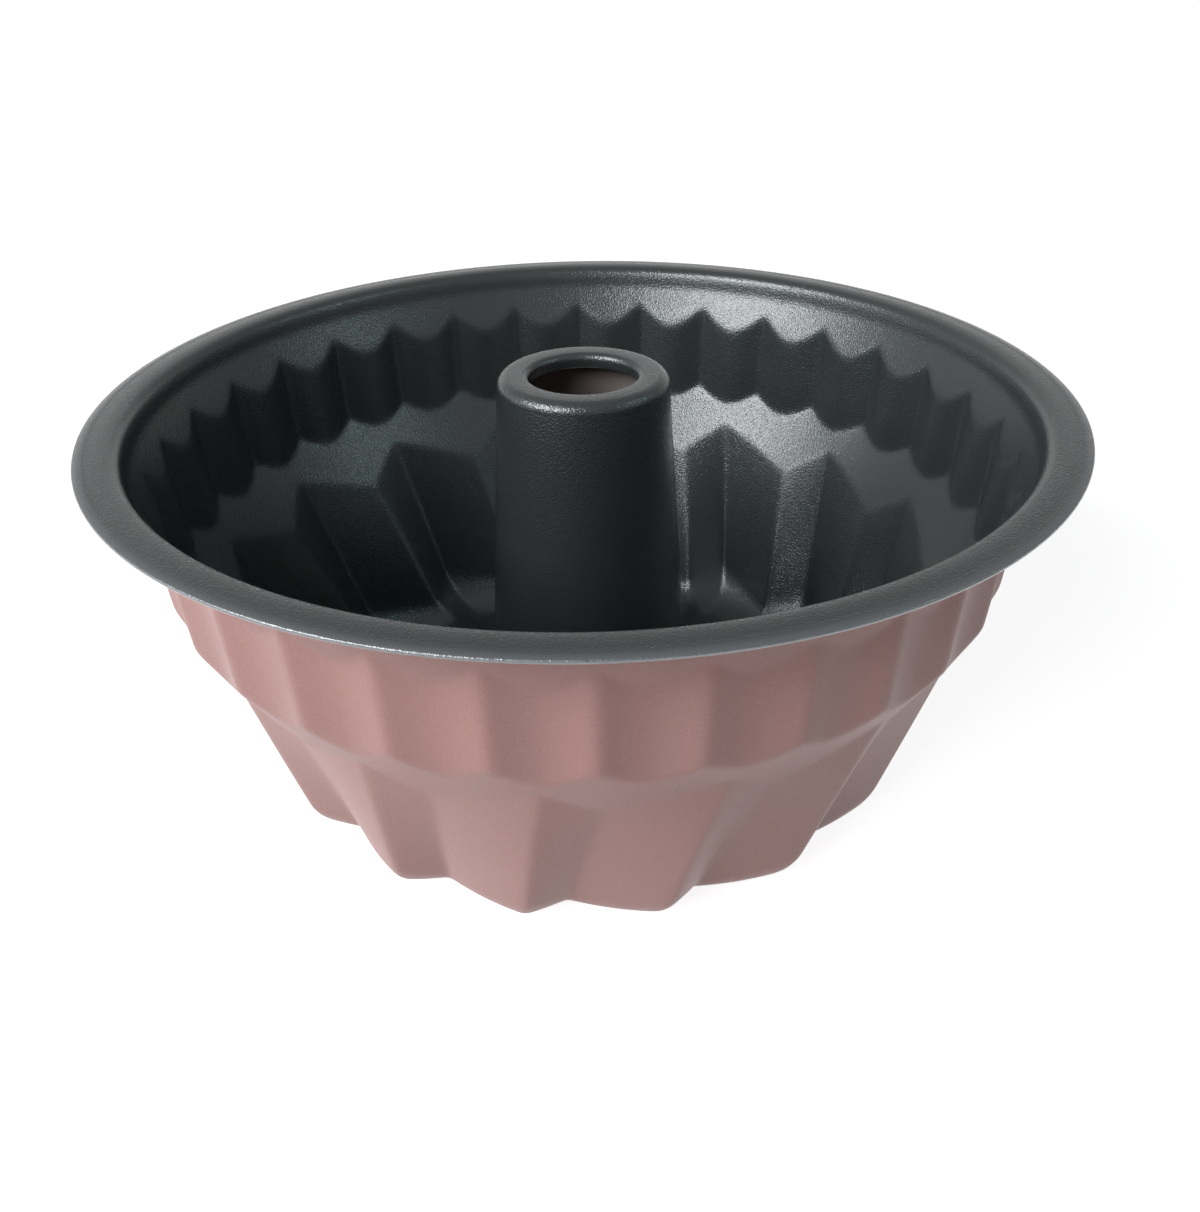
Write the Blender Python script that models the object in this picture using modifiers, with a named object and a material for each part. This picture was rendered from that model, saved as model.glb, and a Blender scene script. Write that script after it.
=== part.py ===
"""Mini fluted tube pan: a pressed sheet-steel shell and a drawn centre tube, seamed together at the foot.

The shell is one sheet. From the top it has a flat rim, a short upright lip, a smooth collar, a drum of
32 small flutes, a smooth belt, and 16 twisted lobes that round under into feet and fade out on a flat
seam floor. The tube is turned: a flat ring with a rolled-in hole, a tapering wall, and a foot whose
bead and turned-out flange hold the edge of the shell's centre hole between them.

Metres, +Z up. The pan's axis is Z and its feet stand on z = 0. Both pieces are drawn as the middle
surface of the sheet, and Solidify gives them the sheet's thickness.
"""
import bpy
import bmesh
import math

# Sheet and fits
SHEET = 0.0007                      # thickness of the steel sheet, both pieces
SEAM_GAP = 0.0003                   # clearance between the shell's hole edge and the tube's seam

# Rim and lip
RIM_RADIUS = 0.0800                 # outer edge of the rim
RIM_TOP = 0.0696                    # top face of the rim above the table
RIM_WIDTH = 0.0051                  # flat part of the rim
RIM_BEND = 0.0014                   # bend from the rim into the lip, in the middle of the sheet
LIP_DEPTH = 0.0040                  # from the rim's top face down to the collar
LIP_DRAFT = math.radians(8.0)       # how far the lip leans inwards

# Collar, flutes and belt
COLLAR_DRAFT = math.radians(24.7)   # slope of the collar, from upright
FLUTE_TOP_DROP = 0.00745            # from the rim's top face down to the tips of the flutes
FLUTE_LENGTH = 0.01695              # along the height, measured at a flute's sharp edge
FLUTE_DRAFT = math.radians(4.8)     # slope of the flutes' sharp edges, from upright
FLUTE_DEPTH = 0.0015                # how far a flute bulges into the pan
BELT_DRAFT = math.radians(32.0)     # slope of the belt below the flutes, from upright

# Lobes
LOBE_COUNT = 16
FLUTES_PER_LOBE = 2
STEPS_PER_FLUTE = 4                 # mesh steps across one flute
LONG_FACE_STEPS = 6                 # mesh steps across a lobe's long face, from crease to ridge
CREASE_ANGLE = math.radians(0.8)    # where the creases start, from a flute's edge
RIDGE_ANGLE = math.radians(15.9)    # where the ridges start, from the same edge
RIDGE_DROP = 0.0064                 # ridges start this far below the flutes
CREASE_DROP = 0.0128                # creases start this far below the flutes
RIDGE_TWIST = math.radians(-4.3)    # turn of the ridges down the wall, clockwise from above
CREASE_TWIST = math.radians(-5.4)   # turn of the creases down the wall
TOE_TWIST = math.radians(-3.2)      # further turn round the toe, down to the feet
FLOOR_TWIST = math.radians(-3.0)    # further turn across the floor

# Toes, feet and floor
FOOT_RADIUS = 0.0457                # where a ridge's toe comes down on the table
RIDGE_TOE_RADIUS = 0.0125           # rounding of a ridge into its foot, in the middle of the sheet
CREASE_RADIUS = 0.0462              # where a crease's toe ends
CREASE_TOE_RADIUS = 0.0060          # rounding of a crease into the floor
CREASE_LIFT = 0.0018                # lowest point of the creases above the feet
FOOT_LENGTH = 0.0034                # flat length of a foot
FOOT_FLATNESS = 0.65                # share of a lobe's height from which its foot is flat
FLOOR_HEIGHT = 0.0060               # middle of the sheet at the seam floor, above the table
FLOOR_WIDTH = 0.0070                # flat ring of floor around the tube

# Centre tube
TUBE_TOP = 0.0725                   # top face of the tube above the table
TUBE_TOP_RADIUS = 0.0143            # outside of the tube at its shoulder
TUBE_FOOT_RADIUS = 0.0186           # outside of the tube just above the seam
HOLE_RADIUS = 0.0090                # inside of the rolled hole in the tube's top
HOLE_LIP = 0.0022                   # how far the rolled edge reaches down
HOLE_BEND = 0.0008                  # bend of the rolled edge, in the middle of the sheet
SHOULDER_BEND = 0.0016              # bend of the tube's shoulder, in the middle of the sheet
BEAD_REACH = 0.0013                 # how far the seam's bead stands out from the tube
BEAD_RADIUS = 0.0006                # rounding of the bead, in the middle of the sheet
SEAM_BEND = 0.00045                 # tight bends at the neck of the seam
FLANGE_REACH = 0.0022               # how far the turned-out flange reaches under the floor
TUBE_STEPS = 40                     # mesh steps around the tube

# Finishes: colour, roughness and metallic
NONSTICK = ((0.030, 0.034, 0.036, 1.0), 0.42, 0.35)
LACQUER = ((0.400, 0.235, 0.220, 1.0), 0.38, 0.25)

# Mesh
WALL_STEPS = 2                      # rings down the straight wall of the lobes
TOE_STEPS = 4                       # rings round a toe
RISE_STEPS = 3                      # rings from the feet up to the seam floor
SHARP_ANGLE = math.radians(20.0)    # edges that turn more than this are shaded sharp
STATIONS_PER_LOBE = FLUTES_PER_LOBE * STEPS_PER_FLUTE
SHORT_FACE_STEPS = STATIONS_PER_LOBE - LONG_FACE_STEPS
STATIONS = LOBE_COUNT * STATIONS_PER_LOBE
STATION_ANGLE = math.tau / STATIONS
LOBE_PITCH = math.tau / LOBE_COUNT


class Slope:
    """A straight line of the pan's section: its radius at any height."""

    def __init__(self, radius, height, draft):
        self.radius = radius
        self.height = height
        self.lean = math.tan(draft)

    def at(self, height):
        return self.radius + (height - self.height) * self.lean

    def meet(self, other, inset=0.0):
        """Height at which this line meets another one that is set in by the inset."""
        own = self.radius - self.height * self.lean
        others = other.radius - other.height * other.lean - inset
        return (others - own) / (self.lean - other.lean)


class Toe:
    """A line down the lobes: straight wall, rounding under into a foot, and rise to the seam floor.

    Its points are given as radius, height and turn about the pan's axis.
    """

    def __init__(self, start, centre, bend, twist):
        self.start = start
        self.centre = centre
        self.bend = bend
        self.twist = twist
        across = start[0] - centre[0]
        up = start[1] - centre[1]
        self.turn = math.atan2(up, across) - math.acos(bend / math.hypot(across, up))

    def round_point(self, share):
        """Point on the rounding: 0 where the straight wall ends, 1 at the foot."""
        angle = self.turn + share * (-math.pi / 2 - self.turn)
        radius = self.centre[0] + self.bend * math.cos(angle)
        height = self.centre[1] + self.bend * math.sin(angle)
        return radius, height, self.twist + TOE_TWIST * share

    def wall_point(self, share):
        """Point on the straight wall: 0 at its start, 1 where the rounding begins."""
        end = self.round_point(0.0)
        return mix(self.start[0], end[0], share), mix(self.start[1], end[1], share), self.twist * share

    def rise_point(self, share):
        """Point on the rise: 0 at the inner end of the foot, 1 on the seam floor."""
        radius = mix(self.centre[0] - FOOT_LENGTH, FLOOR_RADIUS, share)
        height = mix(self.centre[1] - self.bend, FLOOR_HEIGHT, ease(share))
        return radius, height, self.twist + TOE_TWIST + FLOOR_TWIST * share


def mix(a, b, share):
    return a + (b - a) * share


def ease(share):
    """A share from 0 to 1 that starts and ends level."""
    return share * share * (3.0 - 2.0 * share)


# Section lines of the shell, from the rim down
RIM_MIDDLE = RIM_TOP - SHEET / 2
BEND_CENTRE = RIM_RADIUS - RIM_WIDTH
LIP_TOP = RIM_MIDDLE - RIM_BEND + RIM_BEND * math.sin(LIP_DRAFT)
LIP = Slope(BEND_CENTRE - RIM_BEND * math.cos(LIP_DRAFT), LIP_TOP, LIP_DRAFT)
COLLAR_TOP = RIM_TOP - LIP_DEPTH
COLLAR = Slope(LIP.at(COLLAR_TOP), COLLAR_TOP, COLLAR_DRAFT)
FLUTE_TOP = RIM_TOP - FLUTE_TOP_DROP
FLUTE_EDGE = Slope(COLLAR.at(FLUTE_TOP), FLUTE_TOP, FLUTE_DRAFT)
BELT_TOP = FLUTE_TOP - FLUTE_LENGTH
BELT = Slope(FLUTE_EDGE.at(BELT_TOP), BELT_TOP, BELT_DRAFT)
RIDGE_START = (BELT.at(BELT_TOP - RIDGE_DROP), BELT_TOP - RIDGE_DROP)
CREASE_START = (BELT.at(BELT_TOP - CREASE_DROP), BELT_TOP - CREASE_DROP)
FOOT_LEVEL = SHEET / 2
CREASE_LEVEL = FOOT_LEVEL + CREASE_LIFT
RIDGE_CENTRE = (FOOT_RADIUS, FOOT_LEVEL + RIDGE_TOE_RADIUS)
CREASE_CENTRE = (CREASE_RADIUS, CREASE_LEVEL + CREASE_TOE_RADIUS)
RIDGE = Toe(RIDGE_START, RIDGE_CENTRE, RIDGE_TOE_RADIUS, RIDGE_TWIST)
CREASE = Toe(CREASE_START, CREASE_CENTRE, CREASE_TOE_RADIUS, CREASE_TWIST)

# The seam: the shell's hole clears the tube's neck, which is in line with the tube's foot
NECK_RADIUS = TUBE_FOOT_RADIUS - SHEET / 2
SHELL_HOLE = TUBE_FOOT_RADIUS + SEAM_GAP
FLOOR_RADIUS = SHELL_HOLE + FLOOR_WIDTH


def bulge(station):
    """How far a flute bulges inwards at a mesh step: 0 at its sharp edges, 1 in its middle."""
    across = (station % STEPS_PER_FLUTE) / STEPS_PER_FLUTE
    return 4.0 * across * (1.0 - across)


def lobe_share(station):
    """0 on a crease, 1 on a ridge, and in step between them along a lobe's long and short faces."""
    step = station % STATIONS_PER_LOBE
    if step <= LONG_FACE_STEPS:
        return step / LONG_FACE_STEPS
    return (STATIONS_PER_LOBE - step) / SHORT_FACE_STEPS


def lobe_angle(station):
    """Angle of a mesh step on the lobes, so that steps fall on the creases and ridges."""
    lobe, step = divmod(station, STATIONS_PER_LOBE)
    if step <= LONG_FACE_STEPS:
        within = mix(CREASE_ANGLE, RIDGE_ANGLE, step / LONG_FACE_STEPS)
    else:
        within = mix(CREASE_ANGLE + LOBE_PITCH, RIDGE_ANGLE, lobe_share(station))
    return lobe * LOBE_PITCH + within


def foot_share(station):
    """The lobe share with its crest widened, so that a foot has a flat of some width."""
    return min(1.0, lobe_share(station) / FOOT_FLATNESS)


def round_row(radius, height):
    """One ring of the smooth zones."""
    return [(radius, station * STATION_ANGLE, height) for station in range(STATIONS)]


def flute_row(cone):
    """The scalloped edge where the flutes run out on a smooth cone."""
    row = []
    for station in range(STATIONS):
        height = cone.meet(FLUTE_EDGE, FLUTE_DEPTH * bulge(station))
        row.append((cone.at(height), station * STATION_ANGLE, height))
    return row


def lobe_row(crease_point, ridge_point, share_of=lobe_share):
    """One ring of the lobes, from a point on the creases and one on the ridges."""
    row = []
    for station in range(STATIONS):
        share = share_of(station)
        radius = mix(crease_point[0], ridge_point[0], share)
        height = mix(crease_point[1], ridge_point[1], share)
        turn = mix(crease_point[2], ridge_point[2], share)
        row.append((radius, lobe_angle(station) + turn, height))
    return row


def rim_rows():
    """The flat rim, its bend and the lip."""
    half_turn = (math.pi / 2 - LIP_DRAFT) / 2
    bend_middle = BEND_CENTRE - RIM_BEND * math.sin(half_turn)
    bend_height = RIM_MIDDLE - RIM_BEND + RIM_BEND * math.cos(half_turn)
    return [
        round_row(RIM_RADIUS, RIM_MIDDLE),
        round_row(BEND_CENTRE, RIM_MIDDLE),
        round_row(bend_middle, bend_height),
        round_row(LIP.radius, LIP.height),
        round_row(COLLAR.radius, COLLAR.height),
    ]


def wall_rows():
    """The lobes, from the zigzag edge of the belt down to the feet."""
    rows = []
    for step in range(WALL_STEPS):
        share = step / WALL_STEPS
        rows.append(lobe_row(CREASE.wall_point(share), RIDGE.wall_point(share)))
    for step in range(TOE_STEPS + 1):
        share = step / TOE_STEPS
        shape = foot_share if step == TOE_STEPS else lobe_share
        rows.append(lobe_row(CREASE.round_point(share), RIDGE.round_point(share), shape))
    return rows


def floor_rows():
    """The feet, the rise on which the lobes fade out, and the seam floor."""
    rows = []
    for step in range(RISE_STEPS):
        share = step / RISE_STEPS
        rows.append(lobe_row(CREASE.rise_point(share), RIDGE.rise_point(share), foot_share))
    floor_crease = CREASE.rise_point(1.0)
    floor_ridge = RIDGE.rise_point(1.0)
    rows.append(lobe_row(floor_crease, floor_ridge))
    rows.append(lobe_row((SHELL_HOLE, *floor_crease[1:]), (SHELL_HOLE, *floor_ridge[1:])))
    return rows


def make_material(name, finish):
    colour, roughness, metallic = finish
    material = bpy.data.materials.new(name)
    material.use_nodes = True
    material.diffuse_color = colour
    shader = material.node_tree.nodes["Principled BSDF"]
    shader.inputs["Base Color"].default_value = colour
    shader.inputs["Roughness"].default_value = roughness
    shader.inputs["Metallic"].default_value = metallic
    return material


def add_sheet(piece, inner, outer):
    """Give the middle surface the sheet's thickness, with one finish on each face."""
    piece.data.materials.append(inner)
    piece.data.materials.append(outer)
    solidify = piece.modifiers.new("sheet", "SOLIDIFY")
    solidify.thickness = SHEET
    solidify.offset = 0.0
    solidify.use_even_offset = True
    solidify.use_quality_normals = True
    solidify.material_offset = 1
    solidify.material_offset_rim = 1


def make_shell(collection, inner, outer):
    """Loft the shell through its rings, from the rim to the centre hole."""
    rows = rim_rows() + [flute_row(COLLAR), flute_row(BELT)] + wall_rows() + floor_rows()
    mesh = bpy.data.meshes.new("fluted_shell")
    surface = bmesh.new()
    rings = []
    for row in rows:
        ring = []
        for radius, angle, height in row:
            point = (radius * math.cos(angle), radius * math.sin(angle), height)
            ring.append(surface.verts.new(point))
        rings.append(ring)
    for upper, lower in zip(rings, rings[1:]):
        for station in range(STATIONS):
            after = (station + 1) % STATIONS
            face = surface.faces.new((upper[station], upper[after], lower[after], lower[station]))
            face.smooth = True
    surface.to_mesh(mesh)
    surface.free()
    mesh.set_sharp_from_angle(angle=SHARP_ANGLE)
    shell = bpy.data.objects.new("fluted_shell", mesh)
    collection.objects.link(shell)
    add_sheet(shell, inner, outer)
    return shell


def rounded(corners):
    """A profile through corners given as (radius, height, bend, steps), each turned by an arc."""
    points = []
    for index, (radius, height, bend, steps) in enumerate(corners):
        if not bend:
            points.append((radius, height))
            continue
        before = corners[index - 1]
        after = corners[index + 1]
        arrive = math.atan2(height - before[1], radius - before[0])
        leave = math.atan2(after[1] - height, after[0] - radius)
        turn = math.remainder(leave - arrive, math.tau)
        tangent = bend * math.tan(abs(turn) / 2)
        side = math.copysign(1.0, turn)
        start = (radius - tangent * math.cos(arrive), height - tangent * math.sin(arrive))
        centre = (start[0] - side * bend * math.sin(arrive), start[1] + side * bend * math.cos(arrive))
        for step in range(steps + 1):
            angle = arrive - side * math.pi / 2 + turn * step / steps
            points.append((centre[0] + bend * math.cos(angle), centre[1] + bend * math.sin(angle)))
    return points


def tube_profile():
    """Middle of the tube's sheet, from the rolled hole over the top and down to the seam's flange."""
    top = TUBE_TOP - SHEET / 2
    lip = HOLE_RADIUS + SHEET / 2
    shoulder = TUBE_TOP_RADIUS - SHEET / 2
    under_bead = FLOOR_HEIGHT + SHEET + SEAM_GAP
    over_bead = under_bead + 2 * BEAD_RADIUS
    bead_tip = NECK_RADIUS + BEAD_REACH
    under_floor = FLOOR_HEIGHT - SHEET - SEAM_GAP
    return rounded([
        (lip, top - HOLE_LIP, 0, 0),
        (lip, top, HOLE_BEND, 3),
        (shoulder, top, SHOULDER_BEND, 4),
        (NECK_RADIUS, over_bead, BEAD_RADIUS / 2, 1),
        (bead_tip, over_bead, BEAD_RADIUS, 2),
        (bead_tip, under_bead, BEAD_RADIUS, 2),
        (NECK_RADIUS, under_bead, SEAM_BEND, 1),
        (NECK_RADIUS, under_floor, SEAM_BEND, 1),
        (NECK_RADIUS + FLANGE_REACH, under_floor, 0, 0),
    ])


def make_tube(collection, inner, outer):
    """Turn the tube's profile about the pan's axis."""
    points = tube_profile()
    mesh = bpy.data.meshes.new("centre_tube")
    vertices = [(radius, 0.0, height) for radius, height in points]
    edges = [(index, index + 1) for index in range(len(points) - 1)]
    mesh.from_pydata(vertices, edges, [])
    tube = bpy.data.objects.new("centre_tube", mesh)
    collection.objects.link(tube)
    screw = tube.modifiers.new("turn", "SCREW")
    screw.axis = "Z"
    screw.steps = TUBE_STEPS
    screw.render_steps = TUBE_STEPS
    screw.use_merge_vertices = True
    screw.merge_threshold = 0.00001
    screw.use_smooth_shade = True
    add_sheet(tube, inner, outer)
    return tube


def main():
    for item in list(bpy.data.objects):
        bpy.data.objects.remove(item, do_unlink=True)
    collection = bpy.data.collections.new("mini_fluted_tube_pan")
    bpy.context.scene.collection.children.link(collection)
    nonstick = make_material("dark_nonstick", NONSTICK)
    lacquer = make_material("rose_lacquer", LACQUER)
    make_shell(collection, nonstick, lacquer)
    make_tube(collection, nonstick, lacquer)


main()
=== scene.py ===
"""Looks of the mini fluted tube pan: a fine shell and a fine tube in place of the CAD ones.

The shell and the tube follow the sizes of the CAD part, in metres, with many more mesh steps, and
their folds and edges are rounded as pressed sheet is. Both have a dark non-stick coating on the
side of the cake and a rose lacquer on the other side.
"""

import math

import bpy
import numpy as np
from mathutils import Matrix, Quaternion, Vector


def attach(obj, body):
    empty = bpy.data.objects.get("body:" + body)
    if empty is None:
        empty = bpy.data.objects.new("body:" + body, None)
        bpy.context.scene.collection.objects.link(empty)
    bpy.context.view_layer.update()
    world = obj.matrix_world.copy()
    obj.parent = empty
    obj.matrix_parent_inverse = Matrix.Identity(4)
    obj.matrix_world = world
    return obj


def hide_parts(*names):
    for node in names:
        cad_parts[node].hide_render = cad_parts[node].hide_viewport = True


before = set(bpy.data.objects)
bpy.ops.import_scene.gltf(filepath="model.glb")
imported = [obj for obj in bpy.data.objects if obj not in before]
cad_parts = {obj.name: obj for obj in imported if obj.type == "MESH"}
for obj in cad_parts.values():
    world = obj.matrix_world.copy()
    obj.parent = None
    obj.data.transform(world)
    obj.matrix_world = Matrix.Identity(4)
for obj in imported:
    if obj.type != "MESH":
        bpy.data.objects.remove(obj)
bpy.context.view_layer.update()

# Sheet, as in the CAD part
SHEET = 0.0007
SEAM_GAP = 0.0003

# Rim and lip
RIM_RADIUS = 0.0800
RIM_TOP = 0.0696
RIM_WIDTH = 0.0051
RIM_BEND = 0.0014
LIP_DEPTH = 0.0040
LIP_DRAFT = math.radians(8.0)
EDGE_ROUNDING = 0.00032             # rounding of the sheet's trimmed edges
EDGE_DROP = 0.00026                 # how far the rim's flat turns down towards its outer edge
EDGE_TURN = 0.00160                 # width over which it does
EDGE_TUCK = 0.00001                 # keeps the tilted edge inside the rim's radius

# Collar, flutes and belt
COLLAR_DRAFT = math.radians(24.7)
FLUTE_TOP_DROP = 0.00745
FLUTE_LENGTH = 0.01695
FLUTE_DRAFT = math.radians(4.8)
FLUTE_DEPTH = 0.0015
BELT_DRAFT = math.radians(32.0)

# Lobes
LOBE_COUNT = 16
FLUTES_PER_LOBE = 2
CREASE_ANGLE = math.radians(0.8)
RIDGE_ANGLE = math.radians(15.9)
RIDGE_DROP = 0.0064
CREASE_DROP = 0.0128
RIDGE_TWIST = math.radians(-4.3)
CREASE_TWIST = math.radians(-5.4)
TOE_TWIST = math.radians(-3.2)
FLOOR_TWIST = math.radians(-3.0)

# Toes, feet and floor
FOOT_RADIUS = 0.0457
RIDGE_TOE_RADIUS = 0.0125
CREASE_RADIUS = 0.0462
CREASE_TOE_RADIUS = 0.0060
CREASE_LIFT = 0.0018
FOOT_LENGTH = 0.0034
FOOT_FLATNESS = 0.65
FLOOR_HEIGHT = 0.0060
FLOOR_WIDTH = 0.0070

# Centre tube
TUBE_TOP = 0.0725
TUBE_TOP_RADIUS = 0.0143
TUBE_FOOT_RADIUS = 0.0186
HOLE_RADIUS = 0.0090
HOLE_LIP = 0.0022
HOLE_BEND = 0.0008
SHOULDER_BEND = 0.0016
BEAD_REACH = 0.0013
BEAD_RADIUS = 0.0006
SEAM_BEND = 0.00045
FLANGE_REACH = 0.0022

# Fine mesh: short steps beside a fold, longer ones away from it
FINE_STEP = 0.00012
COARSE_STEP = 0.0011
STEP_GROWTH = 0.28                  # growth of the steps with the distance from a fold
PLACES = 2000                       # along a length, at which the steps are reckoned
PRESS_RADIUS = 0.00080              # how softly the press rounds the folds of the sheet
PRESS_REACH = 16                    # steps that it reaches along the sheet
EDGE_STIFFNESS = 3.0                # how much sooner it grows sharp towards a trimmed edge
LEAST_STEP = 1e-6                   # shortest step that is reckoned with
CUSP_ROUNDING = 0.04                # of a flute's width, between two flutes
FAR_FOLD = 1000.0                   # stands for no fold, in lengths
EDGE_TURN_STEPS = 10
LIP_STEPS = 8
TOE_STEPS = 28
FLAT_FROM = 0.75                    # share of the toe's rounding at which the foot begins to widen
RISE_STEPS = 24
TUBE_STEPS = 128
EDGE_STEPS = 4

# Noise in the finishes. Scales are in waves per metre, depths of bumps in metres
NOISE_RANGE = (0.3, 0.7)            # most of a noise's values lie between these

# Dark non-stick coating. Colours are linear
DARK_COLOURS = ((0.050, 0.059, 0.062, 1.0), (0.060, 0.069, 0.072, 1.0))
# lighter colour over the rim's turned-down outer edge, a painted highlight of that rounded edge
EDGE_HIGHLIGHT_COLOUR = (0.170, 0.182, 0.192, 1.0)
DARK_ROUGHNESS = (0.42, 0.34)
DARK_CLOUD_SCALE = 60.0
DARK_PEEL_SCALE = 520.0
DARK_PEEL_DEPTH = 0.00001
GRAIN_SCALE = 3500.0
GRAIN_DEPTH = 0.00009
SKIN_DEPTH = 0.00008                # of the grain, in the clear skin over it

# Rose lacquer
ROSE_COLOURS = ((0.358, 0.198, 0.184, 1.0), (0.394, 0.220, 0.206, 1.0))
PEARL_COLOUR = (0.430, 0.270, 0.256, 1.0)
# painted shade for the inside of the tube's bore, where little light gets in
BORE_SHADE_COLOUR = (0.210, 0.180, 0.172, 1.0)
ROSE_ROUGHNESS = (0.46, 0.38)
ROSE_CLOUD_SCALE = 45.0
ROSE_PEEL_SCALE = 420.0
ROSE_PEEL_DEPTH = 0.00003
PEARL_SCALE = 4200.0
PEARL_DEPTH = 0.000005
PEARL_RANGE = (0.45, 0.90)          # values of its noise over which the pearl shows
BORE_SHADE_WIDTH = 0.001                  # over which the painted shade in the tube's bore fades in, inward from the tube's wall
BORE_SHADE_HEIGHT = 0.6                   # share of the tube's height above which the painted shade in the bore is darkest

# Light
WORLD_LIGHT = 0.07
HORIZON_TOP = math.sin(math.radians(4.0))       # the horizon's light reaches up to here
CEILING_FROM = math.sin(math.radians(13.0))     # and the ceiling's begins here
HORIZON_LIGHT = (0.2, 0.9)          # as reflections see it, behind the camera and behind the pan
HORIZON_SPREAD = (-0.6, 0.3)        # cosines to the bright side between which it brightens
CEILING_LIGHT = (0.36, 0.45)        # the same, on the right and on the left
CEILING_SPREAD = (-0.2, 0.8)
BRIGHT_SIDE = (math.cos(math.radians(150.0)), math.sin(math.radians(150.0)), 0.0)
WHITE = (1.0, 1.0, 1.0)
COOL = (0.72, 1.0, 1.0)
LAMPS = (                           # name, place, width and height, power in watts, colour
    ("key", (-0.675, -0.528, 0.62), (0.90, 0.42), 12.4, WHITE),
    ("side", (-0.98, -0.17, 0.50), (0.70, 0.60), 1.0, WHITE),
    ("fill", (0.84, -0.15, 0.60), (0.28, 0.28), 0.65, COOL),
)
LAMP_TARGET = (0.0, 0.0, 0.04)

# Floor
FLOOR_GREY = (0.56, 0.56, 0.56, 1.0)
FLOOR_ROUGHNESS = 0.9
FLOOR_GLOW = (0.87, 1.0)            # as it is seen, round the pan and far away
FLOOR_NEAR = 0.35                   # how far from the axis the first one reaches
FLOOR_FAR = 0.90                    # where the second one begins
FLOOR_REACH = 3.0

# Photograph
IMAGE_WIDTH = 1200
IMAGE_HEIGHT = 1212
FOCAL_PIXELS = 1174.0
RIM_CENTRE_PIXEL = (583.5, 389.1)
CAMERA_DISTANCE = 0.19859
CAMERA_ELEVATION = math.radians(20.97)
CAMERA_AZIMUTH = math.radians(-90.6)
CAMERA_ROLL = math.radians(-1.22)

LOBE_PITCH = math.tau / LOBE_COUNT


class Slope:
    """A straight line of the pan's section: its radius at any height."""

    def __init__(self, radius, height, draft):
        self.radius = radius
        self.height = height
        self.lean = math.tan(draft)

    def at(self, height):
        return self.radius + (height - self.height) * self.lean

    def meet(self, other, inset=0.0):
        """Height at which this line meets another one that is set in by the inset."""
        own = self.radius - self.height * self.lean
        others = other.radius - other.height * other.lean - inset
        return (others - own) / (self.lean - other.lean)


class Toe:
    """A line down the lobes: straight wall, rounding under into a foot, rise to the seam floor.

    Its points are given as radius, height and turn about the pan's axis.
    """

    def __init__(self, start, centre, bend, twist):
        self.start = start
        self.centre = centre
        self.bend = bend
        self.twist = twist
        across = start[0] - centre[0]
        up = start[1] - centre[1]
        self.turn = math.atan2(up, across) - math.acos(bend / math.hypot(across, up))

    def round_point(self, share):
        """Point on the rounding: 0 where the straight wall ends, 1 at the foot."""
        angle = self.turn + share * (-math.pi / 2 - self.turn)
        radius = self.centre[0] + self.bend * math.cos(angle)
        height = self.centre[1] + self.bend * math.sin(angle)
        return radius, height, self.twist + TOE_TWIST * share

    def rise_point(self, share):
        """Point on the rise: 0 at the inner end of the foot, 1 on the seam floor."""
        radius = mix(self.centre[0] - FOOT_LENGTH, FLOOR_RADIUS, share)
        height = mix(self.centre[1] - self.bend, FLOOR_HEIGHT, ease(share))
        return radius, height, self.twist + TOE_TWIST + FLOOR_TWIST * share


def mix(a, b, share):
    return a + (b - a) * share


def ease(share):
    """A share from 0 to 1 that starts and ends level."""
    return share * share * (3.0 - 2.0 * share)


# Section lines of the shell, from the rim down
RIM_MIDDLE = RIM_TOP - SHEET / 2
BEND_CENTRE = RIM_RADIUS - RIM_WIDTH
LIP_TOP = RIM_MIDDLE - RIM_BEND + RIM_BEND * math.sin(LIP_DRAFT)
LIP = Slope(BEND_CENTRE - RIM_BEND * math.cos(LIP_DRAFT), LIP_TOP, LIP_DRAFT)
COLLAR_TOP = RIM_TOP - LIP_DEPTH
COLLAR = Slope(LIP.at(COLLAR_TOP), COLLAR_TOP, COLLAR_DRAFT)
FLUTE_TOP = RIM_TOP - FLUTE_TOP_DROP
FLUTE_EDGE = Slope(COLLAR.at(FLUTE_TOP), FLUTE_TOP, FLUTE_DRAFT)
BELT_TOP = FLUTE_TOP - FLUTE_LENGTH
BELT = Slope(FLUTE_EDGE.at(BELT_TOP), BELT_TOP, BELT_DRAFT)
RIDGE_START = (BELT.at(BELT_TOP - RIDGE_DROP), BELT_TOP - RIDGE_DROP, 0.0)
CREASE_START = (BELT.at(BELT_TOP - CREASE_DROP), BELT_TOP - CREASE_DROP, 0.0)
FOOT_LEVEL = SHEET / 2
CREASE_LEVEL = FOOT_LEVEL + CREASE_LIFT
RIDGE_CENTRE = (FOOT_RADIUS, FOOT_LEVEL + RIDGE_TOE_RADIUS)
CREASE_CENTRE = (CREASE_RADIUS, CREASE_LEVEL + CREASE_TOE_RADIUS)
RIDGE = Toe(RIDGE_START, RIDGE_CENTRE, RIDGE_TOE_RADIUS, RIDGE_TWIST)
CREASE = Toe(CREASE_START, CREASE_CENTRE, CREASE_TOE_RADIUS, CREASE_TWIST)

# The seam
NECK_RADIUS = TUBE_FOOT_RADIUS - SHEET / 2
SHELL_HOLE = TUBE_FOOT_RADIUS + SEAM_GAP
FLOOR_RADIUS = SHELL_HOLE + FLOOR_WIDTH


def graded(length, folds):
    """Shares from 0 to 1 along a length, with short steps beside the folds."""
    place = np.linspace(0.0, length, PLACES)
    near = np.min([np.abs(place - fold) for fold in folds], axis=0)
    step = np.minimum(COARSE_STEP, FINE_STEP + STEP_GROWTH * near)
    count = np.concatenate([[0.0], np.cumsum(np.diff(place) / step[1:])])
    total = max(1, round(float(count[-1])))
    return np.interp(np.linspace(0.0, count[-1], total + 1), count, place) / length


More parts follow.
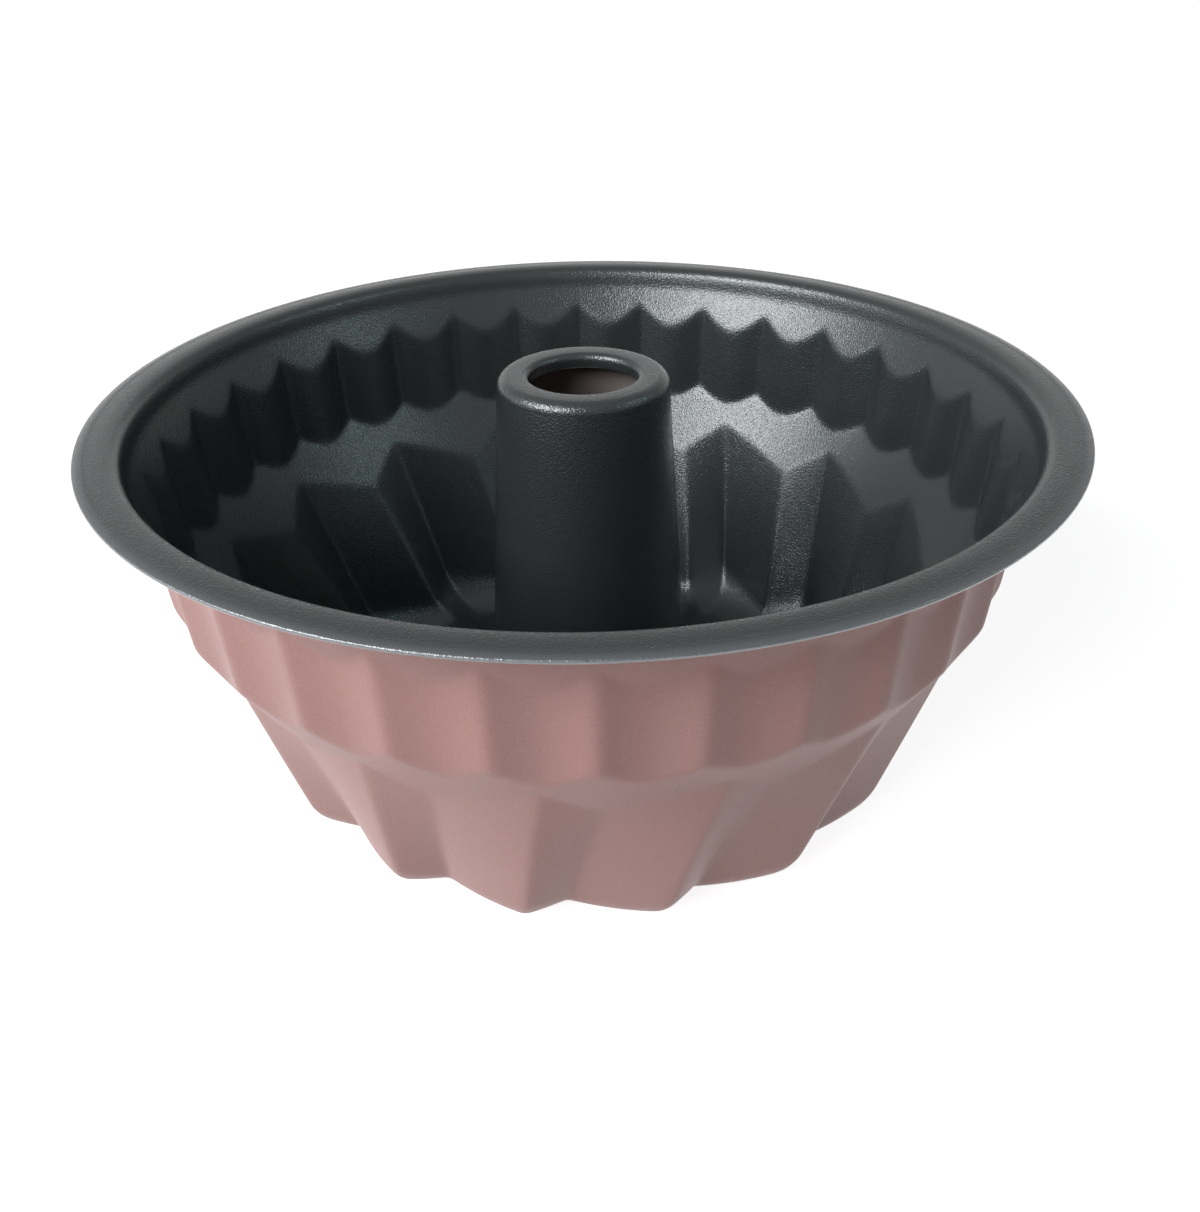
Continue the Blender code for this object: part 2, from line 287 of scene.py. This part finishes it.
# Stations around one lobe, as shares of its pitch. Flute edges and ridges fall on stations
RIDGE_SHARE = 0.75                  # of a pitch, where the stations of the long face end
MIDDLE_RADIUS = 0.062               # at which the steps between stations are measured
LOBE_WIDTH = MIDDLE_RADIUS * LOBE_PITCH
FLUTE_EDGES = np.arange(FLUTES_PER_LOBE + 1) / FLUTES_PER_LOBE


def lobe_stations():
    """Shares of a lobe's pitch from crease to crease, through each flute edge and the ridge."""
    stops = sorted({*FLUTE_EDGES.tolist(), RIDGE_SHARE})
    shares = []
    for start, end in zip(stops, stops[1:]):
        length = (end - start) * LOBE_WIDTH
        shares.extend(mix(start, end, graded(length, (0.0, length)))[:-1])
    return np.array(shares)


# Stations around the shell, all lobes at once
IN_LOBE = np.tile(lobe_stations(), LOBE_COUNT)
LOBE = np.repeat(np.arange(LOBE_COUNT), len(IN_LOBE) // LOBE_COUNT)
ON_LONG_FACE = IN_LOBE <= RIDGE_SHARE
LOBE_SHARE = np.where(ON_LONG_FACE, IN_LOBE / RIDGE_SHARE, (1.0 - IN_LOBE) / (1.0 - RIDGE_SHARE))
FOOT_SHARE = np.minimum(1.0, LOBE_SHARE / FOOT_FLATNESS)
ROUND_ANGLE = (LOBE + IN_LOBE) * LOBE_PITCH
FACE_START = np.where(ON_LONG_FACE, CREASE_ANGLE, CREASE_ANGLE + LOBE_PITCH)
LOBE_ANGLE = LOBE * LOBE_PITCH + mix(FACE_START, RIDGE_ANGLE, LOBE_SHARE)
ACROSS_FLUTE = IN_LOBE * FLUTES_PER_LOBE % 1.0
FROM_CUSP = np.hypot(np.minimum(ACROSS_FLUTE, 1.0 - ACROSS_FLUTE), CUSP_ROUNDING) - CUSP_ROUNDING
BULGE = 4.0 * FROM_CUSP * (1.0 - FROM_CUSP)


def ring(radius, angle, height):
    """One ring of the shell as rows of radius, angle and height."""
    return np.stack(np.broadcast_arrays(radius, angle, height), axis=1).astype(float)


def lobe_ring(crease_point, ridge_point, shape):
    """One ring of the lobes, from a point on the creases and one on the ridges."""
    radius = mix(crease_point[0], ridge_point[0], shape)
    height = mix(crease_point[1], ridge_point[1], shape)
    turn = mix(crease_point[2], ridge_point[2], shape)
    return ring(radius, LOBE_ANGLE + turn, height)


def key_rings():
    """The shell's rings where its form changes, each with whether the sheet folds there."""
    edge = RIM_RADIUS - EDGE_ROUNDING - EDGE_TUCK
    rings = []
    for step in range(EDGE_TURN_STEPS + 1):
        share = 1.0 - step / EDGE_TURN_STEPS
        radius = edge - EDGE_TURN * (1.0 - share)
        height = RIM_MIDDLE - EDGE_DROP * share * share
        rings.append((ring(radius, ROUND_ANGLE, height), step == EDGE_TURN_STEPS))
    for step in range(LIP_STEPS + 1):
        turn = (math.pi / 2 - LIP_DRAFT) * step / LIP_STEPS
        height = RIM_MIDDLE - RIM_BEND + RIM_BEND * math.cos(turn)
        rings.append((ring(BEND_CENTRE - RIM_BEND * math.sin(turn), ROUND_ANGLE, height), False))
    rings.append((ring(COLLAR.radius, ROUND_ANGLE, COLLAR.height), True))
    for cone in (COLLAR, BELT):
        height = cone.meet(FLUTE_EDGE, FLUTE_DEPTH * BULGE)
        rings.append((ring(cone.at(height), ROUND_ANGLE, height), True))
    rings.append((lobe_ring(CREASE.start, RIDGE.start, LOBE_SHARE), True))
    for step in range(TOE_STEPS + 1):
        share = step / TOE_STEPS
        flat = ease(max(0.0, (share - FLAT_FROM) / (1.0 - FLAT_FROM)))
        shape = mix(LOBE_SHARE, FOOT_SHARE, flat)
        points = (CREASE.round_point(share), RIDGE.round_point(share))
        rings.append((lobe_ring(*points, shape), False))
    for step in range(RISE_STEPS + 1):
        share = step / RISE_STEPS
        points = (CREASE.rise_point(share), RIDGE.rise_point(share))
        rings.append((lobe_ring(*points, FOOT_SHARE), False))
    hole = rings[-1][0].copy()
    hole[:, 0] = SHELL_HOLE + EDGE_ROUNDING
    rings.append((hole, False))
    return rings


def shell_points():
    """Points of the shell's middle surface: rings from rim to hole, each with its stations."""
    keys = key_rings()
    rings = [keys[0][0]]
    for (upper, upper_folds), (lower, lower_folds) in zip(keys, keys[1:]):
        across = (upper[:, 0] - lower[:, 0]) ** 2 + (upper[:, 2] - lower[:, 2]) ** 2
        length = float(np.sqrt(across).mean())
        folds = [length * FAR_FOLD]
        if upper_folds:
            folds.append(0.0)
        if lower_folds:
            folds.append(length)
        for share in graded(length, folds)[1:]:
            rings.append(mix(upper, lower, share))
    rings = np.array(rings)
    radius, angle, height = rings[..., 0], rings[..., 1], rings[..., 2]
    return np.stack([radius * np.cos(angle), radius * np.sin(angle), height], axis=-1)


def steps_along(points, axis):
    """Length of the step from each point to the next one along an axis."""
    return np.linalg.norm(np.roll(points, -1, axis=axis) - points, axis=-1, keepdims=True)


def softened(points, axis, softness):
    """Points averaged with their neighbours along an axis, by distance along the sheet."""
    step = steps_along(points, axis)
    before = np.roll(step, 1, axis=axis)
    own = (step + before) / 2
    total = points * own
    weights = own.copy()
    away = {1: np.zeros_like(step), -1: np.zeros_like(step)}
    for count in range(1, PRESS_REACH + 1):
        for direction, first in ((1, step), (-1, before)):
            shift = -direction * count
            away[direction] = away[direction] + np.roll(first, shift + direction, axis=axis)
            share = np.exp(-(away[direction] / softness) ** 2 / 2)
            share *= np.roll(own, shift, axis=axis)
            total += share * np.roll(points, shift, axis=axis)
            weights += share
    return total / weights


def pressed(points):
    """Round every fold as a press does, less and less towards the sheet's two trimmed edges."""
    down = np.cumsum(steps_along(points, 0), axis=0)
    from_rim = down - down[:1]
    from_hole = down[-2:-1] - down
    to_edge = np.clip(np.minimum(from_rim, from_hole), LEAST_STEP, None)
    softness = np.minimum(PRESS_RADIUS, to_edge / EDGE_STIFFNESS)
    return softened(softened(points, 0, softness), 1, softness)


def directions(points, axis):
    """Direction of the surface through each point along an axis, from its two steps."""
    onward = np.roll(points, -1, axis=axis) - points
    onward /= np.maximum(np.linalg.norm(onward, axis=-1, keepdims=True), LEAST_STEP)
    return onward + np.roll(onward, 1, axis=axis)


def normals(points):
    """Unit normals of a middle surface, towards its coated side."""
    before = 2 * points[:1] - points[1:2]
    after = 2 * points[-1:] - points[-2:-1]
    ended = np.concatenate([before, points, after])
    along = directions(ended, 0)[1:-1]
    around = directions(points, 1)
    across = np.cross(around, along)
    return across / np.linalg.norm(across, axis=-1, keepdims=True)


def cut_edge(point, normal, outwards):
    """Rings round the sheet's trimmed edge, from the coated face over to the lacquered face."""
    half = SHEET / 2
    rings = []
    for step in range(EDGE_STEPS + 1):
        turn = math.pi / 2 * step / EDGE_STEPS
        rise = half - EDGE_ROUNDING + EDGE_ROUNDING * math.cos(turn)
        reach = EDGE_ROUNDING * math.sin(turn)
        rings.append((rise, reach))
    rings += [(-rise, reach) for rise, reach in reversed(rings)]
    return [point + normal * rise + outwards * reach for rise, reach in rings]


def sheet_object(name, points, coating, lacquer):
    """A closed sheet about its middle surface: coated face, cut edge, lacquered face, cut edge."""
    normal = normals(points)
    first = points[0] - points[1]
    last = points[-1] - points[-2]
    first /= np.linalg.norm(first, axis=-1, keepdims=True)
    last /= np.linalg.norm(last, axis=-1, keepdims=True)
    half = SHEET / 2
    coated = list(points + normal * half)
    lacquered = list(points - normal * half)
    far_edge = cut_edge(points[-1], normal[-1], last)
    near_edge = cut_edge(points[0], normal[0], first)
    rings = np.array(coated[:-1] + far_edge + lacquered[-2:0:-1] + near_edge[::-1])
    rows, stations = rings.shape[:2]
    index = np.arange(rows * stations).reshape(rows, stations)
    below = np.roll(index, -1, axis=0)
    beside = np.roll(index, -1, axis=1)
    quads = np.stack([index, beside, np.roll(below, -1, axis=1), below], axis=-1)
    mesh = bpy.data.meshes.new(name)
    mesh.from_pydata(rings.reshape(-1, 3).tolist(), [], quads.reshape(-1, 4).tolist())
    lacquer_from = len(coated) + len(far_edge) - 2
    lacquer_rows = (np.arange(rows) >= lacquer_from) & (np.arange(rows) < rows - len(near_edge))
    mesh.materials.append(coating)
    mesh.materials.append(lacquer)
    slots = np.repeat(lacquer_rows.astype(np.int32), stations)
    mesh.polygons.foreach_set("material_index", slots)
    mesh.shade_smooth()
    piece = bpy.data.objects.new(name, mesh)
    bpy.context.scene.collection.objects.link(piece)
    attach(piece, "root")
    return piece


def make_shell(coating, lacquer):
    shell = sheet_object("pan_shell", pressed(shell_points()), coating, lacquer)
    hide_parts("fluted_shell")


def rounded(corners):
    """A profile through corners given as (radius, height, bend, steps), each turned by an arc."""
    points = []
    for index, (radius, height, bend, steps) in enumerate(corners):
        if not bend:
            points.append((radius, height))
            continue
        before = corners[index - 1]
        after = corners[index + 1]
        arrive = math.atan2(height - before[1], radius - before[0])
        leave = math.atan2(after[1] - height, after[0] - radius)
        turn = math.remainder(leave - arrive, math.tau)
        tangent = bend * math.tan(abs(turn) / 2)
        side = math.copysign(1.0, turn)
        middle_radius = radius - tangent * math.cos(arrive) - side * bend * math.sin(arrive)
        middle_height = height - tangent * math.sin(arrive) + side * bend * math.cos(arrive)
        for step in range(steps + 1):
            angle = arrive - side * math.pi / 2 + turn * step / steps
            across = middle_radius + bend * math.cos(angle)
            points.append((across, middle_height + bend * math.sin(angle)))
    return points


def tube_profile():
    """Middle of the tube's sheet, from the rolled hole over the top and down to the flange."""
    top = TUBE_TOP - SHEET / 2
    lip = HOLE_RADIUS + SHEET / 2
    shoulder = TUBE_TOP_RADIUS - SHEET / 2
    under_bead = FLOOR_HEIGHT + SHEET + SEAM_GAP
    over_bead = under_bead + 2 * BEAD_RADIUS
    bead_tip = NECK_RADIUS + BEAD_REACH
    under_floor = FLOOR_HEIGHT - SHEET - SEAM_GAP
    return rounded([
        (lip, top - HOLE_LIP + EDGE_ROUNDING, 0, 0),
        (lip, top, HOLE_BEND, 8),
        (shoulder, top, SHOULDER_BEND, 10),
        (NECK_RADIUS, over_bead, BEAD_RADIUS / 2, 4),
        (bead_tip, over_bead, BEAD_RADIUS, 5),
        (bead_tip, under_bead, BEAD_RADIUS, 5),
        (NECK_RADIUS, under_bead, SEAM_BEND, 4),
        (NECK_RADIUS, under_floor, SEAM_BEND, 4),
        (NECK_RADIUS + FLANGE_REACH - EDGE_ROUNDING, under_floor, 0, 0),
    ])


def make_tube(coating, lacquer):
    angle = np.arange(TUBE_STEPS) * math.tau / TUBE_STEPS
    profile = np.array(tube_profile())[::-1]
    radius = profile[:, :1]
    height = np.broadcast_to(profile[:, 1:], (len(profile), TUBE_STEPS))
    points = np.stack([radius * np.cos(angle), radius * np.sin(angle), height], axis=-1)
    tube = sheet_object("pan_tube", points, coating, lacquer)
    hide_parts("centre_tube")


def new_material(name):
    """A material with its node tree, its shader and the coordinates of the object."""
    material = bpy.data.materials.new(name)
    material.use_nodes = True
    nodes = material.node_tree.nodes
    coordinates = nodes.new("ShaderNodeTexCoord")
    return material.node_tree, nodes["Principled BSDF"], coordinates.outputs["Object"], material


def add_noise(tree, place, scale, detail=2.0):
    """Noise between 0 and 1."""
    noise = tree.nodes.new("ShaderNodeTexNoise")
    noise.inputs["Scale"].default_value = scale
    noise.inputs["Detail"].default_value = detail
    tree.links.new(place, noise.inputs["Vector"])
    return noise.outputs["Fac"]


def spread_between(tree, value, low, high, start=0.0, end=1.0):
    """The value's range from low to high, mapped to start to end."""
    mapping = tree.nodes.new("ShaderNodeMapRange")
    mapping.inputs["From Min"].default_value = low
    mapping.inputs["From Max"].default_value = high
    mapping.inputs["To Min"].default_value = start
    mapping.inputs["To Max"].default_value = end
    tree.links.new(value, mapping.inputs["Value"])
    return mapping.outputs["Result"]


def combine(tree, operation, first, second):
    """Result of one operation on two outputs."""
    node = tree.nodes.new("ShaderNodeMath")
    node.operation = operation
    tree.links.new(first, node.inputs[0])
    tree.links.new(second, node.inputs[1])
    return node.outputs[0]


def mix_colours(tree, share, first, second):
    """A mix of two colours, each a fixed colour or the output of a node."""
    blend = tree.nodes.new("ShaderNodeMix")
    blend.data_type = "RGBA"
    tree.links.new(share, blend.inputs["Factor"])
    for socket, colour in ((blend.inputs[6], first), (blend.inputs[7], second)):
        if isinstance(colour, tuple):
            socket.default_value = colour
        else:
            tree.links.new(colour, socket)
    return blend.outputs[2]


def add_bump(tree, height, depth, below=None):
    """A bump of a depth in metres, on top of another bump if one is given."""
    bump = tree.nodes.new("ShaderNodeBump")
    bump.inputs["Strength"].default_value = 1.0
    bump.inputs["Distance"].default_value = depth
    tree.links.new(height, bump.inputs["Height"])
    if below is not None:
        tree.links.new(below, bump.inputs["Normal"])
    return bump.outputs["Normal"]


def distance_from_axis(tree, place):
    """The radius and the height of a place in the pan, as two outputs."""
    axes = tree.nodes.new("ShaderNodeSeparateXYZ")
    tree.links.new(place, axes.inputs["Vector"])
    level = tree.nodes.new("ShaderNodeCombineXYZ")
    tree.links.new(axes.outputs["X"], level.inputs["X"])
    tree.links.new(axes.outputs["Y"], level.inputs["Y"])
    radius = tree.nodes.new("ShaderNodeVectorMath")
    radius.operation = "LENGTH"
    tree.links.new(level.outputs["Vector"], radius.inputs[0])
    return radius.outputs["Value"], axes.outputs["Z"]


def coating_material():
    """Dark non-stick coating: rough metal pigment under a clear skin, both with a fine grain.

    Over the rim's turned-down outer edge its colour is lighter: a painted highlight of that
    rounded edge.
    """
    tree, shader, place, material = new_material("dark_nonstick")
    grain = add_noise(tree, place, GRAIN_SCALE, 1.0)
    cloud = add_noise(tree, place, DARK_CLOUD_SCALE)
    peel = add_noise(tree, place, DARK_PEEL_SCALE)
    radius, _ = distance_from_axis(tree, place)
    dark = mix_colours(tree, cloud, *DARK_COLOURS)
    # mask of the rim's turned-down outer edge, where the painted highlight lightens the coating
    trimmed = spread_between(tree, radius, RIM_RADIUS - EDGE_TURN, RIM_RADIUS - EDGE_ROUNDING)
    coat = mix_colours(tree, trimmed, dark, EDGE_HIGHLIGHT_COLOUR)
    tree.links.new(coat, shader.inputs["Base Color"])
    roughness = spread_between(tree, grain, *NOISE_RANGE, *DARK_ROUGHNESS)
    tree.links.new(roughness, shader.inputs["Roughness"])
    shader.inputs["Metallic"].default_value = 0.6
    shader.inputs["IOR"].default_value = 1.30
    shader.inputs["Coat Weight"].default_value = 1.0
    shader.inputs["Coat Roughness"].default_value = 0.09
    shader.inputs["Coat IOR"].default_value = 1.50
    under = add_bump(tree, peel, DARK_PEEL_DEPTH)
    tree.links.new(add_bump(tree, grain, GRAIN_DEPTH, under), shader.inputs["Normal"])
    tree.links.new(add_bump(tree, grain, SKIN_DEPTH, under), shader.inputs["Coat Normal"])
    return material


def lacquer_material():
    """Rose lacquer: satin and a little pearly, with painted shade in the tube's bore, darker up
    the tube.
    """
    tree, shader, place, material = new_material("rose_lacquer")
    pearl = add_noise(tree, place, PEARL_SCALE, 1.0)
    cloud = add_noise(tree, place, ROSE_CLOUD_SCALE)
    peel = add_noise(tree, place, ROSE_PEEL_SCALE)
    radius, height = distance_from_axis(tree, place)
    rose = mix_colours(tree, cloud, *ROSE_COLOURS)
    fleck = spread_between(tree, pearl, *PEARL_RANGE)
    rose = mix_colours(tree, fleck, rose, PEARL_COLOUR)
    # painted shade inside the tube's bore: darker inward of the tube's wall and higher up the tube
    in_tube = spread_between(tree, radius, TUBE_FOOT_RADIUS, TUBE_FOOT_RADIUS - BORE_SHADE_WIDTH)
    up_tube = spread_between(tree, height, FLOOR_HEIGHT, TUBE_TOP * BORE_SHADE_HEIGHT)
    bore_shade = combine(tree, "MULTIPLY", in_tube, up_tube)
    tree.links.new(mix_colours(tree, bore_shade, rose, BORE_SHADE_COLOUR), shader.inputs["Base Color"])
    roughness = spread_between(tree, pearl, *NOISE_RANGE, *ROSE_ROUGHNESS)
    tree.links.new(roughness, shader.inputs["Roughness"])
    shader.inputs["Metallic"].default_value = 0.08
    shader.inputs["IOR"].default_value = 1.30
    under = add_bump(tree, peel, ROSE_PEEL_DEPTH)
    tree.links.new(add_bump(tree, pearl, PEARL_DEPTH, under), shader.inputs["Normal"])
    return material


def add_camera():
    """The photograph's camera: it sees the rim's centre at a known pixel, from a known side."""
    target = Vector((0.0, 0.0, RIM_TOP))
    level = math.cos(CAMERA_ELEVATION)
    along_x = math.cos(CAMERA_AZIMUTH) * level
    along_y = math.sin(CAMERA_AZIMUTH) * level
    offset = Vector((along_x, along_y, math.sin(CAMERA_ELEVATION))) * CAMERA_DISTANCE
    aim = (-offset).to_track_quat("-Z", "Y")
    roll = Quaternion((0.0, 0.0, 1.0), CAMERA_ROLL)
    across = (RIM_CENTRE_PIXEL[0] - IMAGE_WIDTH / 2) / FOCAL_PIXELS
    up = (IMAGE_HEIGHT / 2 - RIM_CENTRE_PIXEL[1]) / FOCAL_PIXELS
    off_centre = Vector((0.0, 0.0, -1.0)).rotation_difference(Vector((across, up, -1.0)))
    data = bpy.data.cameras.new("camera")
    data.lens = FOCAL_PIXELS / IMAGE_HEIGHT * data.sensor_width
    data.clip_start = 0.01
    camera = bpy.data.objects.new("camera", data)
    camera.rotation_mode = "QUATERNION"
    camera.rotation_quaternion = aim @ roll @ off_centre.inverted()
    camera.location = target + offset
    bpy.context.scene.collection.objects.link(camera)
    bpy.context.scene.camera = camera


def add_lamp(name, place, size, power, colour):
    """An area lamp that shines at the pan."""
    data = bpy.data.lights.new(name, "AREA")
    data.shape = "RECTANGLE"
    data.size, data.size_y = size
    data.energy = power
    data.color = colour
    lamp = bpy.data.objects.new(name, data)
    lamp.location = place
    beam = Vector(LAMP_TARGET) - Vector(place)
    lamp.rotation_euler = beam.to_track_quat("-Z", "Y").to_euler()
    bpy.context.scene.collection.objects.link(lamp)


def seen_directly(tree):
    """1 where a camera, reflected or transmitted ray meets this, 0 for the light it casts."""
    rays = tree.nodes.new("ShaderNodeLightPath").outputs
    clear = combine(tree, "MAXIMUM", rays["Is Camera Ray"], rays["Is Transmission Ray"])
    return combine(tree, "MAXIMUM", clear, rays["Is Glossy Ray"])


def add_world():
    """A studio with white walls: the camera and reflections see them, other rays a soft light.

    In reflections its ceiling is darker, and so is the side where the camera stands.
    """
    world = bpy.data.worlds.new("studio")
    world.use_nodes = True
    tree = world.node_tree
    background = tree.nodes["Background"]
    background.inputs["Color"].default_value = (1.0, 1.0, 1.0, 1.0)
    place = tree.nodes.new("ShaderNodeTexCoord")
    axes = tree.nodes.new("ShaderNodeSeparateXYZ")
    tree.links.new(place.outputs["Generated"], axes.inputs["Vector"])
    side = tree.nodes.new("ShaderNodeVectorMath")
    side.operation = "DOT_PRODUCT"
    side.inputs[1].default_value = BRIGHT_SIDE
    tree.links.new(place.outputs["Generated"], side.inputs[0])
    towards = side.outputs["Value"]
    room = tree.nodes.new("ShaderNodeMix")
    rise = spread_between(tree, axes.outputs["Z"], HORIZON_TOP, CEILING_FROM)
    horizon = spread_between(tree, towards, *HORIZON_SPREAD, *HORIZON_LIGHT)
    ceiling = spread_between(tree, towards, *CEILING_SPREAD, *CEILING_LIGHT)
    tree.links.new(rise, room.inputs["Factor"])
    tree.links.new(horizon, room.inputs["A"])
    tree.links.new(ceiling, room.inputs["B"])
    rays = tree.nodes.new("ShaderNodeLightPath").outputs
    seen = combine(tree, "MAXIMUM", room.outputs["Result"], rays["Is Camera Ray"])
    strength = tree.nodes.new("ShaderNodeMix")
    strength.inputs["A"].default_value = WORLD_LIGHT
    tree.links.new(seen_directly(tree), strength.inputs["Factor"])
    tree.links.new(seen, strength.inputs["B"])
    tree.links.new(strength.outputs["Result"], background.inputs["Strength"])
    bpy.context.scene.world = world


def add_floor():
    """A white floor that keeps the pan's shadow and meets the white walls unseen."""
    tree, shader, place, material = new_material("floor")
    shader.inputs["Base Color"].default_value = FLOOR_GREY
    shader.inputs["Roughness"].default_value = FLOOR_ROUGHNESS
    shader.inputs["Emission Color"].default_value = (1.0, 1.0, 1.0, 1.0)
    radius, _ = distance_from_axis(tree, place)
    glow = spread_between(tree, radius, FLOOR_NEAR, FLOOR_FAR, *FLOOR_GLOW)
    glow = combine(tree, "MULTIPLY", seen_directly(tree), glow)
    tree.links.new(glow, shader.inputs["Emission Strength"])
    mesh = bpy.data.meshes.new("floor")
    signs = ((-1, -1), (1, -1), (1, 1), (-1, 1))
    corners = [(across * FLOOR_REACH, along * FLOOR_REACH, 0) for across, along in signs]
    mesh.from_pydata(corners, [], [(0, 1, 2, 3)])
    floor = bpy.data.objects.new("floor", mesh)
    floor.data.materials.append(material)
    bpy.context.scene.collection.objects.link(floor)


coating = coating_material()
lacquer = lacquer_material()
make_shell(coating, lacquer)
make_tube(coating, lacquer)
add_floor()
add_world()
for lamp in LAMPS:
    add_lamp(*lamp)
add_camera()
bpy.context.scene.view_settings.view_transform = "Standard"
